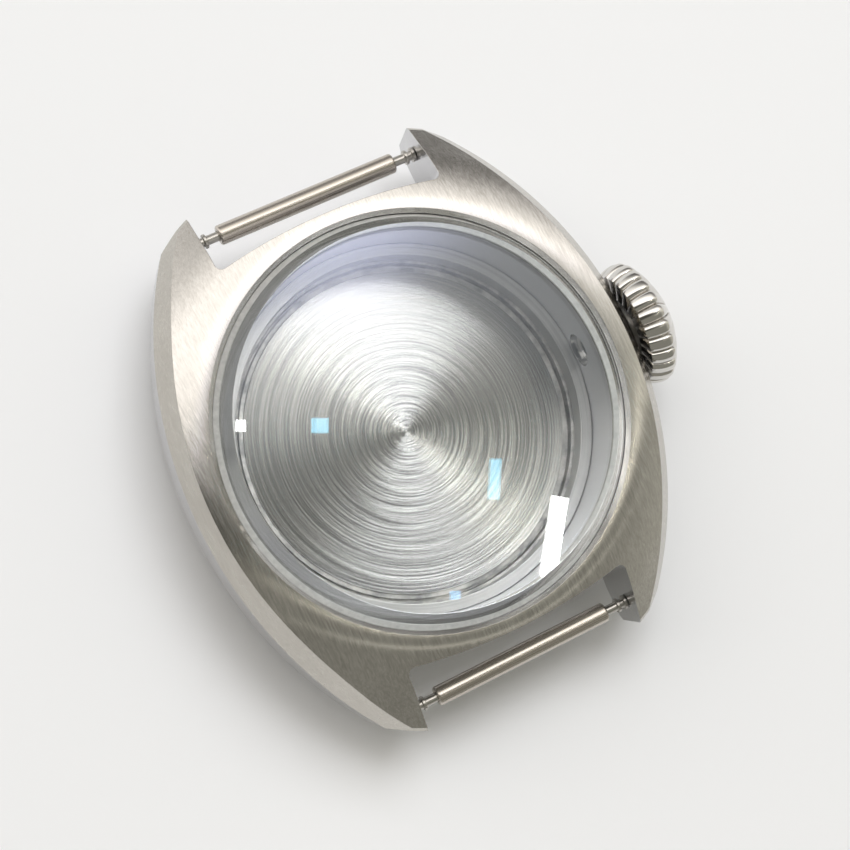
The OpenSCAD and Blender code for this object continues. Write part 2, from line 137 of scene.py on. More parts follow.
def makeTurnedSteel(name, dark, light, roughLow, roughHigh, axis="Z", anisotropy=0.0,
                    ringsPerMetre=5200.0, depth=0.000006, wander=0.6, detail=4.0):
    # fine circles about an axis; a slow wander along the circle keeps them from being perfect rings
    material, tree, shader, coords = startMaterial(name, light, 1.0, roughLow)
    parts = addNode(tree, "ShaderNodeSeparateXYZ", {0: coords})
    first, second = {"Z": (0, 1), "X": (1, 2)}[axis]
    flat = addNode(tree, "ShaderNodeCombineXYZ", {0: parts.outputs[first], 1: parts.outputs[second]}).outputs[0]
    radius = addNode(tree, "ShaderNodeVectorMath", {0: flat}, operation="LENGTH").outputs["Value"]
    angle = calculate(tree, "ARCTAN2", parts.outputs[second], parts.outputs[first])
    place = addNode(tree, "ShaderNodeCombineXYZ", {
        0: calculate(tree, "MULTIPLY", radius, ringsPerMetre),
        1: calculate(tree, "MULTIPLY", calculate(tree, "SINE", angle), wander),
        2: calculate(tree, "MULTIPLY", calculate(tree, "COSINE", angle), wander),
    }).outputs[0]
    rings = noiseAt(tree, place, detail, 0.6)
    shader.inputs["Anisotropic"].default_value = anisotropy
    if anisotropy:
        # light spreads across the grooves, a quarter turn from the circle's own direction
        tangent = addNode(tree, "ShaderNodeTangent", direction_type="RADIAL", axis=axis)
        shader.inputs["Anisotropic Rotation"].default_value = 0.25
        tree.links.new(tangent.outputs[0], shader.inputs["Tangent"])
    tree.links.new(tintBetween(tree, remap(tree, rings, 0, 1, 0.3, 0.7), dark, light), shader.inputs["Base Color"])
    tree.links.new(remap(tree, rings, roughLow, roughHigh, 0.3, 0.7), shader.inputs["Roughness"])
    tree.links.new(bumpFrom(tree, rings, 1.0, depth), shader.inputs["Normal"])
    return material


def makePolishedSteel(name, colour, roughness):
    material, tree, shader, coords = startMaterial(name, colour, 1.0, roughness)
    hairlines = stretchedNoise(tree, coords, (2600, 2600, 500), 6.0, (0.4, 0.9, 0.2), 0.75)
    smears = stretchedNoise(tree, coords, (420, 420, 420), 3.0)
    tree.links.new(remap(tree, smears, roughness, roughness + 0.12, 0.35, 0.75), shader.inputs["Roughness"])
    tree.links.new(bumpFrom(tree, hairlines, 0.25, 0.000004), shader.inputs["Normal"])
    return material


def makeRoughSteel(name, dark, light):
    # grey, stained and pitted, as left inside a case
    material, tree, shader, coords = startMaterial(name, light, 1.0, 0.45)
    pits = stretchedNoise(tree, coords, (5200, 5200, 5200), 6.0, (0, 0, 0), 0.8)
    stains = stretchedNoise(tree, coords, (700, 700, 700), 4.0)
    tree.links.new(tintBetween(tree, remap(tree, stains, 0, 1, 0.35, 0.65), dark, light), shader.inputs["Base Color"])
    tree.links.new(remap(tree, pits, 0.3, 0.62, 0.35, 0.7), shader.inputs["Roughness"])
    tree.links.new(bumpFrom(tree, pits, 0.7, 0.00003), shader.inputs["Normal"])
    return material


def makeGasketMaterial(name, dark, light, roughness):
    material, tree, shader, coords = startMaterial(name, light, 0.0, roughness, IOR=1.5)
    grain = stretchedNoise(tree, coords, (3000, 3000, 3000), 5.0)
    tree.links.new(tintBetween(tree, remap(tree, grain, 0, 1, 0.3, 0.7), dark, light), shader.inputs["Base Color"])
    tree.links.new(bumpFrom(tree, grain, 0.4, 0.00001), shader.inputs["Normal"])
    return material


def makeCrystalGlass(name):
    # clear glass with faint wiping marks; shadows pass so that the inside stays lit
    material, tree, shader, coords = startMaterial(name, (0.985, 0.995, 1.0), 0.0, 0.0, IOR=1.76)
    shader.inputs["Transmission Weight"].default_value = 1.0
    shader.inputs["Specular Tint"].default_value = (0.8, 0.86, 1.0, 1)
    wipes = stretchedNoise(tree, coords, (240, 900, 240), 3.0, (0, 0, 0.6))
    tree.links.new(remap(tree, wipes, 0.0, 0.025, 0.45, 0.8), shader.inputs["Roughness"])
    clear = addNode(tree, "ShaderNodeBsdfTransparent")
    clear.inputs[0].default_value = (0.96, 0.98, 0.985, 1)
    lightPath = addNode(tree, "ShaderNodeLightPath")
    mix = addNode(tree, "ShaderNodeMixShader", {0: lightPath.outputs["Is Shadow Ray"]})
    tree.links.new(shader.outputs[0], mix.inputs[1])
    tree.links.new(clear.outputs[0], mix.inputs[2])
    tree.links.new(mix.outputs[0], tree.nodes["Material Output"].inputs["Surface"])
    return material


caseTopSteel = makeBrushedSteel("caseTopSteel", (0.50, 0.48, 0.45), (0.68, 0.66, 0.63), 0.18, 0.25, anisotropy=1.0)
# the bevel steel is darker than the top steel: partly its satin finish, partly painted shade from the shadowed floor it
# mirrors
caseBevelSteelPaintedShade = makeBrushedSteel("caseBevelSteelPaintedShade", (0.48, 0.455, 0.415), (0.6, 0.575, 0.53), 0.2, 0.3, depth=0.6)
caseSideSteel = makeBrushedSteel("caseSideSteel", (0.56, 0.56, 0.57), (0.68, 0.68, 0.69), 0.16, 0.26, depth=0.6)
casePolishedSteel = makePolishedSteel("casePolishedSteel", (0.76, 0.75, 0.73), 0.09)
# the inner wall is turned steel lightened beyond the other case steel: painted light on the inner wall
caseWallSteelPaintedLight = makeTurnedSteel("caseWallSteelPaintedLight", (0.6, 0.6, 0.62), (0.74, 0.74, 0.76), 0.32, 0.5)
gasketNylon = makeGasketMaterial("gasketNylon", (0.42, 0.41, 0.39), (0.56, 0.55, 0.52), 0.5)
gasketRubber = makeGasketMaterial("gasketRubber", (0.02, 0.02, 0.02), (0.05, 0.05, 0.05), 0.55)
crystalGlass = makeCrystalGlass("crystalGlass")
ringSteel = makeTurnedSteel("ringSteel", (0.4, 0.4, 0.4), (0.6, 0.6, 0.59), 0.3, 0.48)
backTurnedSteel = makeTurnedSteel("backTurnedSteel", (0.36, 0.36, 0.36), (0.56, 0.56, 0.55), 0.15, 0.24, anisotropy=1.0,
                                  ringsPerMetre=9000.0, depth=0.0000025, wander=1.0, detail=0.5)
backRoughSteel = makeRoughSteel("backRoughSteel", (0.3, 0.3, 0.3), (0.66, 0.65, 0.63))
backOuterSteel = makeTurnedSteel("backOuterSteel", (0.55, 0.54, 0.52), (0.68, 0.67, 0.65), 0.22, 0.36, anisotropy=0.5)
crownSteel = makePolishedSteel("crownSteel", (0.7, 0.68, 0.65), 0.09)
crownCoreSteel = makeTurnedSteel("crownCoreSteel", (0.5, 0.5, 0.5), (0.66, 0.66, 0.65), 0.25, 0.4, axis="X")
quarterTurn = (0, 0, math.pi / 2)
barSteel = makeBrushedSteel("barSteel", (0.5, 0.46, 0.41), (0.66, 0.61, 0.55), 0.2, 0.32, quarterTurn, depth=0.3, along=60.0)
pinSteel = makeTurnedSteel("pinSteel", (0.44, 0.42, 0.39), (0.62, 0.6, 0.56), 0.22, 0.38, axis="X")
springSteel = makeBrushedSteel("springSteel", (0.4, 0.39, 0.37), (0.52, 0.51, 0.49), 0.3, 0.42)
print("finishes made")


# ---- mesh helpers
def newPiece(name, bm, material, sharpAngle=28.0):
    mesh = bpy.data.meshes.new(name)
    bm.to_mesh(mesh)
    bm.free()
    mesh.shade_smooth()
    mesh.set_sharp_from_angle(angle=math.radians(sharpAngle))
    piece = bpy.data.objects.new(name, mesh)
    scene.collection.objects.link(piece)
    if material is not None:
        mesh.materials.append(material)
    return piece


def roundedOutline(points, radius, steps=4):
    # each corner of a closed outline becomes a small arc, with a point close by on each side that keeps the flats flat
    result = []
    count = len(points)
    for index in range(count):
        before, here, after = (Vector(points[(index + k) % count]) for k in (-1, 0, 1))
        toBefore, toAfter = before - here, after - here
        turn = math.pi - toBefore.angle(toAfter)
        onAxis = abs(here.x) < 1e-9
        if onAxis or turn < 0.12:
            result.append(here)
            continue
        reach = min(radius * math.tan(turn / 2), 0.4 * toBefore.length, 0.4 * toAfter.length)
        start, end = here + toBefore.normalized() * reach, here + toAfter.normalized() * reach
        hold = min(0.3 * reach, 0.012)
        result.append(start + toBefore.normalized() * hold)
        for step in range(steps + 1):
            t = step / steps
            result.append(start * (1 - t) ** 2 + here * (2 * t * (1 - t)) + end * t ** 2)
        result.append(end + toAfter.normalized() * hold)
    return result


def turnedMesh(points, steps=224, along="Z", offset=(0, 0, 0)):
    # a closed outline of (radius, height) in millimetres, turned about Z or X
    bm = bmesh.new()
    rows = []
    for step in range(steps):
        angle = 2 * math.pi * step / steps
        row = []
        for radius, height in points:
            spot = (radius * math.cos(angle), radius * math.sin(angle), height)
            if along == "X":
                spot = (height, spot[0], spot[1])
            row.append(bm.verts.new(((spot[0] + offset[0]) * mm, (spot[1] + offset[1]) * mm, (spot[2] + offset[2]) * mm)))
        rows.append(row)
    count = len(points)
    for step in range(steps):
        here, there = rows[step], rows[(step + 1) % steps]
        for index in range(count):
            after = (index + 1) % count
            if points[index][0] < 1e-9 and points[after][0] < 1e-9:
                continue
            bm.faces.new((here[index], there[index], there[after], here[after]))
    bmesh.ops.remove_doubles(bm, verts=bm.verts, dist=1e-8)
    bmesh.ops.dissolve_degenerate(bm, edges=bm.edges, dist=1e-9)
    bmesh.ops.recalc_face_normals(bm, faces=bm.faces)
    return bm


def cutMesh(body, tool, operation):
    modifier = body.modifiers.new("cut", "BOOLEAN")
    modifier.object = tool
    modifier.operation = operation
    modifier.solver = "EXACT"
    depsgraph = bpy.context.evaluated_depsgraph_get()
    mesh = bpy.data.meshes.new_from_object(body.evaluated_get(depsgraph))
    body.modifiers.clear()
    old = body.data
    body.data = mesh
    bpy.data.meshes.remove(old)
    bpy.data.objects.remove(tool)


def arcPoints(centre, radius, fromAngle, toAngle, steps):
    # angles in degrees from straight up, clockwise
    spots = []
    for step in range(steps + 1):
        turn = math.radians(fromAngle + (toAngle - fromAngle) * step / steps)
        spots.append((centre[0] + radius * math.sin(turn), centre[1] + radius * math.cos(turn)))
    return spots


# ---- the case body: turned blank, cut to its plan, bevelled along both sides
case = {
    "halfWidth": 17.81, "rimZ": 10.0, "sideR": 32.0, "lugEndR": 22.3, "halfGap": 9.0, "gapEdgeY": 16.45, "gapEdgeR": 45.0,
    "gapCornerR": 0.5, "barrelR": 16.4, "edgeChamfer": 0.4, "lowZ": 1.5,
    "topTurnR": 18.078, "topSlope": 33.0, "topBendR": 8.5, "bevelW": 1.05, "bevelH": 1.62, "bevelR": 31.0,
    "lugRootZ": 4.9, "lugLowZ": 3.15, "lugLowR": 20.1, "lugEndSlant": 0.3,
    "wallR": 14.0, "seatR": 15.2, "rimChamfer": 0.29, "seatZ": 9.19, "threadR": 14.65, "ringSeatZ": 2.89,
    "crownZ": 5.6, "tubeR": 1.3, "neckR": 1.55, "shoulderT": 0.25,
    "barY": 18.6, "barZ": 6.0, "holeR": 0.45, "holeDepth": 1.2,
    # how finely the plan is drawn, how far its prism reaches past the case, and how far a cutter reaches past what it cuts
    "sideSteps": 192, "cornerSteps": 12, "edgeSteps": 48, "prismLow": -2, "prismHigh": 14, "cutPast": 1,
}


def caseOutline():
    c = case
    slope = math.tan(math.radians(c["topSlope"]))
    coneZ = lambda r: c["rimZ"] - (r - c["topTurnR"]) * slope
    bendIn = c["topBendR"] * math.tan(math.radians(c["topSlope"] / 2))
    bendCentre = (c["topTurnR"] - bendIn, c["rimZ"] - c["topBendR"])
    arcW, arcH = c["lugLowR"] - c["barrelR"], c["lugRootZ"] - c["lugLowZ"]
    arcR = (arcW * arcW + arcH * arcH) / (2 * arcH)
    arcTurn = math.degrees(math.asin(arcW / arcR))
    chamfer = c["edgeChamfer"]
    points = [(c["threadR"], c["lowZ"]), (c["barrelR"] - chamfer, c["lowZ"]), (c["barrelR"], c["lowZ"] + chamfer)]
    points += arcPoints((c["lugLowR"], c["lugLowZ"] + arcR), arcR, 180 + arcTurn, 180, 24)
    points += [
        (c["lugEndR"] - c["lugEndSlant"] - chamfer, c["lugLowZ"]), (c["lugEndR"] - c["lugEndSlant"], c["lugLowZ"] + chamfer),
        (c["lugEndR"], coneZ(c["lugEndR"]) - chamfer / 2), (c["lugEndR"] - chamfer / 2, coneZ(c["lugEndR"] - chamfer / 2)),
    ]
    points += arcPoints(bendCentre, c["topBendR"], c["topSlope"], 0, 36)
    points += [
        (c["seatR"] + c["rimChamfer"], c["rimZ"]), (c["seatR"], c["rimZ"] - c["rimChamfer"]), (c["seatR"], c["seatZ"]),
        (c["wallR"], c["seatZ"]), (c["wallR"], c["ringSeatZ"]), (c["threadR"], c["ringSeatZ"]),
    ]
    return points


def casePlanPrism():
    c = case
    centreX = c["halfWidth"] - c["sideR"]
    topY = math.sqrt(c["sideR"] ** 2 - (c["halfGap"] - centreX) ** 2)
    half = math.degrees(math.asin(topY / c["sideR"]))
    edgeC = c["gapEdgeY"] - c["gapEdgeR"]
    cornerX = c["halfGap"] - c["gapCornerR"]
    cornerY = edgeC + math.sqrt((c["gapEdgeR"] + c["gapCornerR"]) ** 2 - cornerX ** 2)
    plan = []
    for step in range(c["sideSteps"] + 1):
        angle = math.radians(half - 2 * half * step / c["sideSteps"])
        plan.append((centreX + c["sideR"] * math.cos(angle), c["sideR"] * math.sin(angle)))
    # round the lower gap from the right lug to the left one
    gap = []
    tilt = math.degrees(math.atan2(cornerX, cornerY - edgeC))
    for step in range(c["cornerSteps"] + 1):
        angle = math.radians(step / c["cornerSteps"] * (90 + tilt))
        gap.append((cornerX + c["gapCornerR"] * math.cos(angle), cornerY - c["gapCornerR"] * math.sin(angle)))
    for step in range(1, c["edgeSteps"]):
        angle = math.radians(tilt - 2 * tilt * step / c["edgeSteps"])
        gap.append((c["gapEdgeR"] * math.sin(angle), edgeC + c["gapEdgeR"] * math.cos(angle)))
    gap += [(-x, y) for x, y in reversed(gap[:c["cornerSteps"] + 1])]
    plan += [(x, -y) for x, y in gap]
    plan += [(-x, y) for x, y in reversed(plan[:c["sideSteps"] + 1])]
    plan += [(-x, y) for x, y in gap]
    bm = bmesh.new()
    low = [bm.verts.new((x * mm, y * mm, c["prismLow"] * mm)) for x, y in plan]
    high = [bm.verts.new((x * mm, y * mm, c["prismHigh"] * mm)) for x, y in plan]
    count = len(plan)
    bm.faces.new(low)
    bm.faces.new(high)
    for index in range(count):
        after = (index + 1) % count
        bm.faces.new((low[index], low[after], high[after], high[index]))
    bmesh.ops.recalc_face_normals(bm, faces=bm.faces)
    return newPiece("casePlanPrism", bm, None)


def bevelTool(side):
    # a wide drum, leaning in at the top, whose skin cuts the bevel along one side
    c = case
    lean = math.atan2(c["bevelW"], c["bevelH"])
    bm = bmesh.new()
    drumR = c["bevelR"] * mm
    bmesh.ops.create_cone(bm, cap_ends=True, segments=900, radius1=drumR, radius2=drumR, depth=100 * mm)
    edge = Matrix.Translation(Vector((c["halfWidth"], 0, c["rimZ"] - c["bevelH"])) * mm)
    place = edge @ Matrix.Rotation(math.pi - lean, 4, "Y") @ Matrix.Translation((drumR, 0, 0))
    bmesh.ops.transform(bm, matrix=place, verts=bm.verts)
    if side < 0:
        bmesh.ops.scale(bm, vec=(-1, 1, 1), verts=bm.verts)
        bmesh.ops.reverse_faces(bm, faces=bm.faces)
    bmesh.ops.recalc_face_normals(bm, faces=bm.faces)
    return newPiece("bevelTool", bm, None)


def rodAlongX(radius, fromX, toX, y, z, segments=64):
    bm = turnedMesh([(0, fromX), (radius, fromX), (radius, toX), (0, toX)], segments, "X", (0, y, z))
    return newPiece("rod", bm, None)


def makeCaseBody():
    c = case
    body = newPiece("caseBody", turnedMesh(caseOutline(), 480), None)
    cutMesh(body, casePlanPrism(), "INTERSECT")
    cutMesh(body, bevelTool(1), "INTERSECT")
    cutMesh(body, bevelTool(-1), "INTERSECT")
    cutMesh(body, rodAlongX(c["tubeR"], 10, 20, 0, c["crownZ"]), "DIFFERENCE")
    cutMesh(body, rodAlongX(c["neckR"], c["halfWidth"] - c["shoulderT"], 20, 0, c["crownZ"]), "DIFFERENCE")
    for xSide in (1, -1):
        for ySide in (1, -1):
            span = sorted((xSide * (c["halfGap"] - c["cutPast"]), xSide * (c["halfGap"] + c["holeDepth"])))
            cutMesh(body, rodAlongX(c["holeR"], span[0], span[1], ySide * c["barY"], c["barZ"], 32), "DIFFERENCE")
    # finishes by where a face looks; the bevel's darker tone is partly painted shade, and the inner wall's lighter tone
    # is painted light
    finishes = (caseTopSteel, caseBevelSteelPaintedShade, caseSideSteel, casePolishedSteel, caseWallSteelPaintedLight)
    top, bevel, side, rim, wall = range(len(finishes))
    mesh = body.data
    mesh.materials.clear()
    for material in finishes:
        mesh.materials.append(material)
    for face in mesh.polygons:
        spot, normal = face.center / mm, face.normal
        radius = math.hypot(spot.x, spot.y)
        outward = (normal.x * spot.x + normal.y * spot.y) / max(radius, 1e-6)
        kind = side
        if radius < c["seatR"] + c["rimChamfer"] + 0.02 and spot.z > c["rimZ"] - c["rimChamfer"] - 0.02 and normal.z < 0.9:
            kind = rim
        elif outward < -0.5 and radius < c["seatR"] + 0.1:
            kind = wall
        elif spot.z > 5 and normal.z > 0.8:
            kind = top
        elif spot.z > 5 and 0.3 < normal.z <= 0.8:
            kind = bevel
        face.material_index = kind
    mesh.shade_smooth()
    mesh.set_sharp_from_angle(angle=math.radians(18))
    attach(body, "case")
    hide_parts("mid_case")
    return body


caseBody = makeCaseBody()
print("case body made:", len(caseBody.data.polygons), "faces")


# ---- turned pieces: crystal, gasket, movement ring, tubes and pins
def makeTurnedPiece(name, outline, material, body, node, along="Z", offset=(0, 0, 0), rounding=0.03, steps=224):
    bm = turnedMesh(roundedOutline(outline, rounding), steps, along, offset)
    piece = newPiece(name, bm, material, 30)
    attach(piece, body)
    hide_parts(node)


crystal = {"r": 14.72, "top": 11.69, "thick": 2.2, "chamferW": 0.68, "chamferH": 1.09}
crystalLow = crystal["top"] - crystal["thick"]
makeTurnedPiece("crystalDisc", [
    (0, crystalLow), (crystal["r"], crystalLow), (crystal["r"], crystal["top"] - crystal["chamferH"]),
    (crystal["r"] - crystal["chamferW"], crystal["top"]), (0, crystal["top"]),
], crystalGlass, "case", "crystal", rounding=0.05, steps=320)

gasket = {"gap": 0.02, "sink": 0.18}
gasketTop = case["rimZ"] - case["rimChamfer"] - gasket["sink"]
gasketIn, gasketOut = case["wallR"] + gasket["gap"], case["seatR"] - gasket["gap"]
crystalSide = crystal["r"] + gasket["gap"]
makeTurnedPiece("crystalSeal", [
    (gasketIn, case["seatZ"] + gasket["gap"]), (gasketOut, case["seatZ"] + gasket["gap"]),
    (gasketOut, gasketTop), (crystalSide, gasketTop),
    (crystalSide, crystalLow - gasket["gap"]), (gasketIn, crystalLow - gasket["gap"]),
], gasketNylon, "case", "crystal_gasket", rounding=0.06)

ring = {"innerR": 13.08, "outerR": 13.98, "topZ": 4.3, "lowZ": 2.49, "flangeR": 14.35}
makeTurnedPiece("movementRing", [
    (ring["innerR"], ring["lowZ"]), (ring["flangeR"], ring["lowZ"]), (ring["flangeR"], case["ringSeatZ"]),
    (ring["outerR"], case["ringSeatZ"]), (ring["outerR"], ring["topZ"]), (ring["innerR"], ring["topZ"]),
], ringSteel, "case", "movement_ring", rounding=0.08)

tube = {"boreR": 0.75, "inX": 14.55, "endX": 20.05, "neckR": 1.5, "sealR": 1.1, "sealDepth": 0.5}
shoulderX = case["halfWidth"] - case["shoulderT"]
makeTurnedPiece("crownTube", [
    (tube["boreR"], tube["inX"]), (case["tubeR"], tube["inX"]), (case["tubeR"], shoulderX), (tube["neckR"], shoulderX),
    (tube["neckR"], tube["endX"]), (tube["sealR"], tube["endX"]), (tube["sealR"], tube["endX"] - tube["sealDepth"]),
    (tube["boreR"], tube["endX"] - tube["sealDepth"]),
], crownCoreSteel, "case", "crown_tube", "X", (0, 0, case["crownZ"]), 0.03, 96)

bar = {"r": 0.75, "half": 7.2, "boreR": 0.58, "lip": 0.5, "holeR": 0.41, "roundEnd": 0.17}
pin = {
    "shankR": 0.36, "headR": 0.53, "headIn": 5.55, "headOut": 6.45, "flangeR": 0.55, "flangeT": 0.24, "neck": 0.34,
    "outX": 8.96, "tipX": 9.84, "tipR": 0.4, "tipChamfer": 0.1,
}
endR = bar["r"] - bar["roundEnd"]
barOutline = [
    (bar["boreR"], bar["lip"] - bar["half"]), (bar["holeR"], bar["lip"] - bar["half"]), (bar["holeR"], -bar["half"]), (endR, -bar["half"]),
    *arcPoints((endR, bar["roundEnd"] - bar["half"]), bar["roundEnd"], 170, 90, 5),
    *arcPoints((endR, bar["half"] - bar["roundEnd"]), bar["roundEnd"], 90, 10, 5),
    (endR, bar["half"]), (bar["holeR"], bar["half"]), (bar["holeR"], bar["half"] - bar["lip"]), (bar["boreR"], bar["half"] - bar["lip"]),
]
# two flanges, each given by its inner and outer face
innerFlange = pin["outX"] - 2 * pin["flangeT"] - pin["neck"], pin["outX"] - 2 * pin["flangeT"] - pin["neck"] + pin["flangeT"]
outerFlange = pin["outX"] - pin["flangeT"], pin["outX"]
pinOutline = [
    (0, pin["headIn"]), (pin["headR"], pin["headIn"]), (pin["headR"], pin["headOut"]), (pin["shankR"], pin["headOut"]),
    (pin["shankR"], innerFlange[0]), (pin["flangeR"], innerFlange[0]), (pin["flangeR"], innerFlange[1]), (pin["shankR"], innerFlange[1]),
    (pin["shankR"], outerFlange[0]), (pin["flangeR"], outerFlange[0]), (pin["flangeR"], outerFlange[1]), (pin["tipR"], outerFlange[1]),
    (pin["tipR"], pin["tipX"] - pin["tipChamfer"]), (pin["tipR"] - pin["tipChamfer"], pin["tipX"]), (0, pin["tipX"]),
]
for hour, ySide in (("12", 1), ("6", -1)):
    spot = (0, ySide * case["barY"], case["barZ"])
    makeTurnedPiece("barTube" + hour, barOutline, barSteel, "bar_" + hour,
                    "bar_" + hour + "_tube", "X", spot, 0.03, 96)
    for sideName, xSide in (("left", -1), ("right", 1)):
        outline = [(r, xSide * x) for r, x in pinOutline]
        makeTurnedPiece("barPin" + hour + sideName.capitalize(), outline, pinSteel, "pin_" + hour + "_" + sideName,
                        "bar_" + hour + "_pin_" + sideName, "X", spot, 0.05, 64)
print("turned pieces made")


# ---- the back, with its wrench notches cut after turning
back = {
    "flangeT": 1.5, "flangeR": 15.75, "threadR": 14.6, "pitch": 0.5, "threadH": 0.95, "threadD": 0.12,
    "innerZ": 2.1, "innerR": 12.3, "innerStep": 0.1, "ringW": 0.36, "grooveW": 0.2, "grooveD": 0.5,
    "sealGap": 0.05, "sealW": 0.45, "sealH": 0.5, "notches": 6, "notchW": 2.4, "notchL": 1.9, "notchD": 0.6, "cutterL": 4, "cutterH": 2,
}


def makeBack():
    b = back
    top = b["flangeT"] + b["threadH"]
    ringOut = b["innerR"] + b["ringW"]
    wallIn = ringOut + b["grooveW"]
    sealIn = b["threadR"] + b["sealGap"]
    sealOut, sealLow = sealIn + b["sealW"], b["flangeT"] - b["sealH"]
    middle = b["flangeT"] + b["pitch"] / 2
    grooveLow, innerLow = b["innerZ"] - b["grooveD"], b["innerZ"] - b["innerStep"]
    outline = [
        (0, 0), (b["flangeR"] - b["flangeT"] / 2, 0), (b["flangeR"], b["flangeT"] / 2), (b["flangeR"], b["flangeT"]),
        (sealOut, b["flangeT"]), (sealOut, sealLow), (sealIn, sealLow), (sealIn, b["flangeT"]), (b["threadR"], b["flangeT"]),
        (b["threadR"], middle - b["threadD"]), (b["threadR"] - b["threadD"], middle), (b["threadR"], middle + b["threadD"]),
        (b["threadR"], top), (wallIn, top), (wallIn, grooveLow), (ringOut, grooveLow), (ringOut, innerLow),
        (b["innerR"], innerLow), (b["innerR"], b["innerZ"]), (0, b["innerZ"]),
    ]
    bm = turnedMesh(roundedOutline(outline, 0.05), 360)
    piece = newPiece("screwBack", bm, None, 30)
    notchAt = Vector((b["flangeR"] - b["notchL"] + b["cutterL"] / 2, 0, b["notchD"] - b["cutterH"] / 2)) * mm
    for notch in range(b["notches"]):
        tool = bmesh.new()
        bmesh.ops.create_cube(tool, size=mm)
        spin = Matrix.Rotation(2 * math.pi * notch / b["notches"], 4, "Z")
        place = spin @ Matrix.Translation(notchAt) @ Matrix.Diagonal((b["cutterL"], b["notchW"], b["cutterH"], 1))
        bmesh.ops.transform(tool, matrix=place, verts=tool.verts)
        cutMesh(piece, newPiece("notchTool", tool, None), "DIFFERENCE")
    # finely turned inside, rough in the thread and groove, satin outside
    mesh = piece.data
    mesh.materials.clear()
    for material in (backTurnedSteel, backRoughSteel, backOuterSteel):
        mesh.materials.append(material)
    for face in mesh.polygons:
        spot = face.center / mm
        radius = math.hypot(spot.x, spot.y)
        face.material_index = 0 if radius < b["innerR"] - 0.04 and spot.z > 1.6 else 1 if spot.z > 1.55 else 2
    mesh.shade_smooth()
    mesh.set_sharp_from_angle(angle=math.radians(30))
    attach(piece, "back")
    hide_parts("case_back")


makeBack()
print("back made")


# ---- the crown: one rib is modelled, Geometry Nodes set the ring of them
crown = {
    "innerX": 18.15, "r": 4.87, "innerR": 4.4, "belly": 1.5, "length": 3.57, "shoulderR": 0.6, "coreR": 2.85, "coreDepth": 2.5,
    # the grooves run out between two radii; one power crowds points to the groove, the other flattens the rib's top
    "ribs": 24, "grooveDepth": 0.42, "fadeFrom": 3.6, "fadeTo": 2.75, "crowding": 1.5, "flatness": 2.8, "weld": 0.000002,
}


def crownProfile(steps=72):
    # (distance from the inner face, radius) from the inner face round to the pole
    c = crown
    rise = c["r"] - c["innerR"]
    bellyR = (c["belly"] ** 2 + rise ** 2) / (2 * rise)
    off = c["length"] - c["belly"]
    domeR = (off ** 2 + (c["r"] - c["shoulderR"]) ** 2 - c["shoulderR"] ** 2) / (2 * (off - c["shoulderR"]))
    domeC = c["length"] - domeR
    spots = []
    start = math.asin(c["belly"] / bellyR)
    for step in range(steps // 3 + 1):
        turn = start * (1 - step / (steps // 3))
        spots.append((c["belly"] - bellyR * math.sin(turn), c["r"] - bellyR + bellyR * math.cos(turn)))
    endTurn = math.atan2(c["belly"] - domeC, c["r"] - c["shoulderR"])
    for step in range(1, 13):
        turn = endTurn * step / 12
        spots.append((c["belly"] + c["shoulderR"] * math.sin(turn), c["r"] - c["shoulderR"] + c["shoulderR"] * math.cos(turn)))
    poleFrom = math.asin(spots[-1][1] / domeR)
    count = steps // 2
    for step in range(1, count + 1):
        turn = poleFrom * (1 - step / count)
        spots.append((domeC + domeR * math.cos(turn), domeR * math.sin(turn)))
    return spots


def crownRibMesh(across=14):
    c = crown
    spots = crownProfile()
    half = math.pi / c["ribs"]
    bm = bmesh.new()
    rows = []
    for along, (x, radius) in enumerate(spots):
        fade = min(1.0, max(0.0, (radius - c["fadeTo"]) / (c["fadeFrom"] - c["fadeTo"]))) if x > c["belly"] else 1.0
        fade = fade * fade * (3 - 2 * fade)
        before, after = spots[max(along - 1, 0)], spots[min(along + 1, len(spots) - 1)]
        slope = Vector((after[0] - before[0], after[1] - before[1])).normalized()
        inwardX, inwardR = slope[1], -slope[0]
        row = []
        for step in range(across + 1):
            u = -1 + 2 * step / across
            u = math.copysign(1 - (1 - abs(u)) ** c["crowding"], u)
            drop = c["grooveDepth"] * fade * (1 - math.sqrt(max(0.0, 1 - abs(u) ** c["flatness"] * 0.998)))
            spotX = x - abs(inwardX) * drop * (1 if x > c["belly"] else -1)
            spotR = max(radius + inwardR * drop, 0.0)
            angle = half * u
            row.append(bm.verts.new((spotX * mm, spotR * math.sin(angle) * mm, spotR * math.cos(angle) * mm)))
        rows.append(row)
    # the inner face and the bore for the core close the rib
    for x, radius in ((0.0, c["coreR"]), (c["coreDepth"], c["coreR"]), (c["coreDepth"], 0.0)):
        angles = [half * (-1 + 2 * step / across) for step in range(across + 1)]
        rows.insert(0, [bm.verts.new((x * mm, radius * math.sin(angle) * mm, radius * math.cos(angle) * mm)) for angle in angles])
    for along in range(len(rows) - 1):
        for step in range(across):
            bm.faces.new((rows[along][step], rows[along][step + 1], rows[along + 1][step + 1], rows[along + 1][step]))
    bmesh.ops.remove_doubles(bm, verts=bm.verts, dist=1e-8)
    bmesh.ops.dissolve_degenerate(bm, edges=bm.edges, dist=1e-9)
    return newPiece("crownRib", bm, crownSteel, 50)


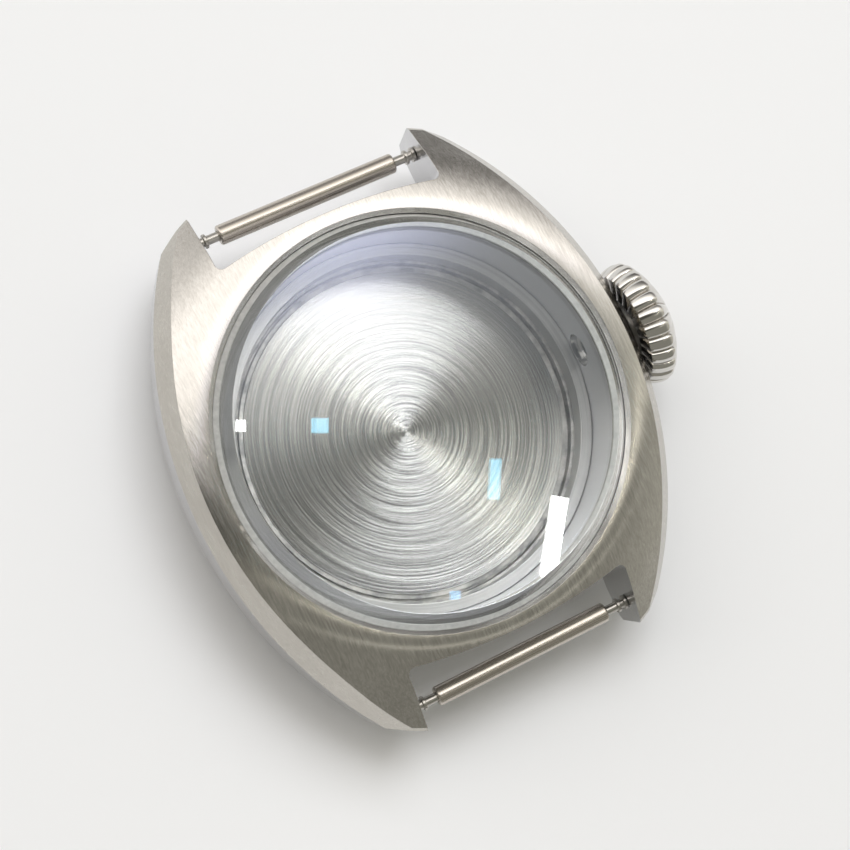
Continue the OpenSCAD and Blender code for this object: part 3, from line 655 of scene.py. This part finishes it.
def ribRingTree():
    tree = bpy.data.node_groups.new("ribRing", "GeometryNodeTree")
    face = tree.interface
    face.new_socket("Geometry", in_out="INPUT", socket_type="NodeSocketGeometry")
    face.new_socket("Ribs", in_out="INPUT", socket_type="NodeSocketInt").default_value = 24
    face.new_socket("Weld", in_out="INPUT", socket_type="NodeSocketFloat").default_value = 0.000001
    face.new_socket("Finish", in_out="INPUT", socket_type="NodeSocketMaterial")
    face.new_socket("Geometry", in_out="OUTPUT", socket_type="NodeSocketGeometry")
    inside, outside = tree.nodes.new("NodeGroupInput"), tree.nodes.new("NodeGroupOutput")
    ribs = inside.outputs["Ribs"]
    line = addNode(tree, "GeometryNodeMeshLine", {"Count": ribs, "Offset": (0, 0, 0)})
    share = addNode(tree, "ShaderNodeMath", {0: 2 * math.pi, 1: ribs}, operation="DIVIDE").outputs[0]
    index = addNode(tree, "GeometryNodeInputIndex").outputs[0]
    turn = addNode(tree, "ShaderNodeMath", {0: share, 1: index}, operation="MULTIPLY").outputs[0]
    spin = addNode(tree, "ShaderNodeCombineXYZ", {0: turn}).outputs[0]
    placed = addNode(tree, "GeometryNodeInstanceOnPoints", {
        "Points": line.outputs[0], "Instance": inside.outputs["Geometry"], "Rotation": spin})
    real = addNode(tree, "GeometryNodeRealizeInstances", {"Geometry": placed.outputs[0]})
    weld = addNode(tree, "GeometryNodeMergeByDistance", {"Geometry": real.outputs[0], "Distance": inside.outputs["Weld"]})
    finish = addNode(tree, "GeometryNodeSetMaterial", {"Geometry": weld.outputs[0], "Material": inside.outputs["Finish"]})
    tree.links.new(finish.outputs[0], outside.inputs["Geometry"])
    return tree


def applyTree(piece, tree, values):
    modifier = piece.modifiers.new("nodes", "NODES")
    modifier.node_group = tree
    for item in tree.interface.items_tree:
        if item.item_type == "SOCKET" and item.in_out == "INPUT" and item.name in values:
            modifier[item.identifier] = values[item.name]
    mesh = bpy.data.meshes.new_from_object(piece.evaluated_get(bpy.context.evaluated_depsgraph_get()))
    piece.modifiers.clear()
    piece.data = mesh


crownPiece = crownRibMesh()
applyTree(crownPiece, ribRingTree(), {"Ribs": crown["ribs"], "Weld": crown["weld"], "Finish": crownSteel})
crownPiece.name = "flutedCrown"
bm = bmesh.new()
bm.from_mesh(crownPiece.data)
bmesh.ops.translate(bm, vec=Vector((crown["innerX"], 0, case["crownZ"])) * mm, verts=bm.verts)
bmesh.ops.recalc_face_normals(bm, faces=bm.faces)
bm.to_mesh(crownPiece.data)
bm.free()
crownPiece.data.shade_smooth()
crownPiece.data.set_sharp_from_angle(angle=math.radians(50))
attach(crownPiece, "crown")
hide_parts("crown_cap")
print("crown made:", len(crownPiece.data.polygons), "faces")

# ---- the nodes that keep their own solids
kept = {
    "case_back_gasket": gasketRubber, "stem_gasket": gasketRubber, "crown_gasket": gasketRubber, "crown_washer": pinSteel,
    "crown_core": crownCoreSteel, "bar_12_spring": springSteel, "bar_6_spring": springSteel,
}
for nodeName, material in kept.items():
    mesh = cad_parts[nodeName].data
    mesh.materials.clear()
    mesh.materials.append(material)

# ---- table, light and camera
table = {"halfSize": 0.6, "colour": (0.88, 0.88, 0.89), "roughness": 0.6, "grainPerMetre": 900}
bm = bmesh.new()
bmesh.ops.create_grid(bm, x_segments=2, y_segments=2, size=table["halfSize"])
floor = newPiece("tableTop", bm, None)
floorMaterial, floorTree, floorShader, floorCoords = startMaterial("tableTop", table["colour"], 0.0, table["roughness"])
grain = stretchedNoise(floorTree, floorCoords, [table["grainPerMetre"]] * 3, 4.0)
floorTree.links.new(bumpFrom(floorTree, grain, 0.05, 0.00003), floorShader.inputs["Normal"])
floor.data.materials.append(floorMaterial)

# the room: dim overhead and to the south, brighter to the east, with a broad pale window to the north
room = {
    "dim": 0.09, "dimTint": (1.0, 0.98, 0.86), "south": 0.18, "southY": (-0.03, -0.15),
    "east": 0.52, "eastX": (0.22, 0.38), "eastY": (-0.13, -0.07), "farEast": 0.27, "farEastX": (0.35, 0.8),
    "window": 1.95, "windowTint": (1.0, 0.97, 0.93), "windowY": (0.05, 0.25), "slant": 0.3, "slantTo": 0.18,
    "fadeEast": 0.85, "fadeEastAt": (0.5, 1.35), "fadeHigh": 0.5, "fadeHighAt": (0.45, 1.0),
    # patches, each with its middle and reach along Y, middle and reach along X, and height:
    # the window's bright middle, a patch of sky over it, and soft stripes
    "core": (0.22, 0.13, 0.23, 0.22, 2.2), "sky": (0.15, 0.06, 0.25, 0.11, 2.2), "skyTint": (0.86, 0.86, 1.15),
    "stripes": ((-0.245, 0.04, 0.15, 0.22, 1.2), (-0.09, 0.05, 0.0, 0.3, 0.15)),
    "backdrop": (0.82, 0.82, 0.83),
}
world = bpy.data.worlds.new("room")
scene.world = world
world.use_nodes = True
tree = world.node_tree


def softStep(value, fromEnd, toEnd, height=1.0, base=0.0):
    ends = {"Value": value, "From Min": fromEnd, "From Max": toEnd, "To Min": base, "To Max": base + height}
    return addNode(tree, "ShaderNodeMapRange", ends, interpolation_type="SMOOTHSTEP").outputs[0]


def nearTo(value, middle, reach, height=1.0):
    away = calculate(tree, "ABSOLUTE", calculate(tree, "SUBTRACT", value, middle))
    return softStep(away, reach, 0.0, height)


def patch(middleY, reachY, middleX, reachX, height):
    return calculate(tree, "MULTIPLY", nearTo(lookY, middleY, reachY, height), nearTo(lookX, middleX, reachX))


def tinted(colour, amount):
    return addNode(tree, "ShaderNodeVectorMath", {0: colour, "Scale": amount}, operation="SCALE").outputs[0]


look = addNode(tree, "ShaderNodeSeparateXYZ", {0: addNode(tree, "ShaderNodeTexCoord").outputs["Generated"]})
lookX, lookY = look.outputs["X"], look.outputs["Y"]
south = softStep(lookY, *room["southY"], room["south"], room["dim"])
walls = calculate(tree, "ADD", south, softStep(lookX, *room["farEastX"], room["farEast"]))
walls = calculate(tree, "MULTIPLY_ADD", softStep(lookX, *room["eastX"], room["east"]), softStep(lookY, *room["eastY"]), walls)
for stripe in room["stripes"]:
    walls = calculate(tree, "ADD", patch(*stripe), walls)
slanted = calculate(tree, "MULTIPLY_ADD", calculate(tree, "MINIMUM", lookX, room["slantTo"]), room["slant"], lookY)
fadeEast = softStep(calculate(tree, "ADD", lookX, lookY), *room["fadeEastAt"], -room["fadeEast"], 1.0)
fadeHigh = softStep(lookY, *room["fadeHighAt"], -room["fadeHigh"], 1.0)
window = calculate(tree, "MULTIPLY", calculate(tree, "MULTIPLY", fadeEast, fadeHigh), room["window"])
glow = calculate(tree, "ADD", window, patch(*room["core"]))
wallLight, windowLight = tinted(room["dimTint"], walls), tinted(room["windowTint"], glow)
northward = softStep(slanted, *room["windowY"])
roomLight = addNode(tree, "ShaderNodeMix", {0: northward, 6: wallLight, 7: windowLight}, data_type="RGBA").outputs[2]
skyLight = tinted(room["skyTint"], patch(*room["sky"]))
allLight = addNode(tree, "ShaderNodeVectorMath", {0: roomLight, 1: skyLight}, operation="ADD").outputs[0]
# behind the table's edge the camera sees plain white
seen = addNode(tree, "ShaderNodeLightPath").outputs["Is Camera Ray"]
shown = addNode(tree, "ShaderNodeMix", {0: seen, 6: allLight, 7: (*room["backdrop"], 1)}, data_type="RGBA").outputs[2]
tree.links.new(shown, tree.nodes["Background"].inputs["Color"])

# lengths in metres, power in watts
panel = {"place": (0.22, 0.36, 0.72), "size": (0.5, 0.4), "watts": 2.75, "colour": (0.915, 0.955, 1.0)}
# small bright panes, which show as reflections in the crystal: four corners at one height, in millimetres, radiance, colour
paneHeight = 500
panes = {
    "paneBar": ([(155, -26), (160, -29), (141, -51), (136, -47)], 40.0, (1.0, 0.95, 0.8)),
    "paneSky": ([(88, 35), (94, 32), (91, 28), (86, 30)], 4.5, (0.3, 0.85, 1.0)),
    "paneSkyLow": ([(140, -4), (143, -6), (136, -18), (132, -16)], 4.5, (0.3, 0.85, 1.0)),
    "paneSmall": ([(106, -39), (110, -41), (108, -43), (105, -42)], 4.0, (0.3, 0.7, 1.0)),
    "paneLeft": ([(64, 45), (67, 43), (66, 40), (63, 41)], 40.0, (1.0, 0.95, 0.8)),
}


def addLamp(name, size, watts, colour, matrix):
    lamp = bpy.data.lights.new(name, "AREA")
    lamp.shape = "RECTANGLE"
    lamp.size, lamp.size_y = size
    lamp.energy = watts
    lamp.color = colour
    holder = bpy.data.objects.new(name, lamp)
    holder.matrix_world = matrix
    scene.collection.objects.link(holder)
    return holder


panelAt = Matrix.Translation(panel["place"]) @ Vector(panel["place"]).to_track_quat("Z", "Y").to_matrix().to_4x4()
# a fill for the table and the inside; the steel mirrors the room's window instead
addLamp("northPanel", panel["size"], panel["watts"], panel["colour"], panelAt).visible_glossy = False
for name, (corners, radiance, colour) in panes.items():
    corner = [Vector((x, y, paneHeight)) * mm for x, y in corners]
    centre = sum(corner, Vector()) / 4
    long = (corner[1] + corner[0] - corner[2] - corner[3]) / 2
    wide = (corner[1] + corner[2] - corner[0] - corner[3]) / 2
    across = wide.normalized()
    upright = Vector((0, 0, 1)).cross(across)
    facing = Matrix((across, upright, Vector((0, 0, 1)))).transposed()
    watts = radiance * math.pi * wide.length * long.length
    addLamp(name, (wide.length, long.length), watts, colour, Matrix.Translation(centre) @ facing.to_4x4())

# turns about X, Y and Z, place in millimetres, focal length and centre in the photograph's pixels
cameraView = {
    "turn": (-0.10845435, 0.23009812, 0.45453283), "place": (-32.508, -4.745, 137.382),
    "focal": 1829.73, "centre": (462.27, 479.24), "image": 850, "sensor": 36,
}
cameraData = bpy.data.cameras.new("photoCamera")
cameraData.sensor_width = cameraView["sensor"]
cameraData.lens = cameraView["focal"] / cameraView["image"] * cameraView["sensor"]
cameraData.shift_x = (cameraView["image"] / 2 - cameraView["centre"][0]) / cameraView["image"]
cameraData.shift_y = (cameraView["centre"][1] - cameraView["image"] / 2) / cameraView["image"]
cameraData.clip_start = 0.005
camera = bpy.data.objects.new("photoCamera", cameraData)
turnX, turnY, turnZ = cameraView["turn"]
facing = (Matrix.Rotation(turnX, 3, "X") @ Matrix.Rotation(turnY, 3, "Y") @ Matrix.Rotation(turnZ, 3, "Z")).transposed()
camera.matrix_world = Matrix.Translation(Vector(cameraView["place"]) * mm) @ facing.to_4x4()
scene.collection.objects.link(camera)
scene.camera = camera
scene.view_settings.view_transform = "Standard"
print("table, light and camera set")
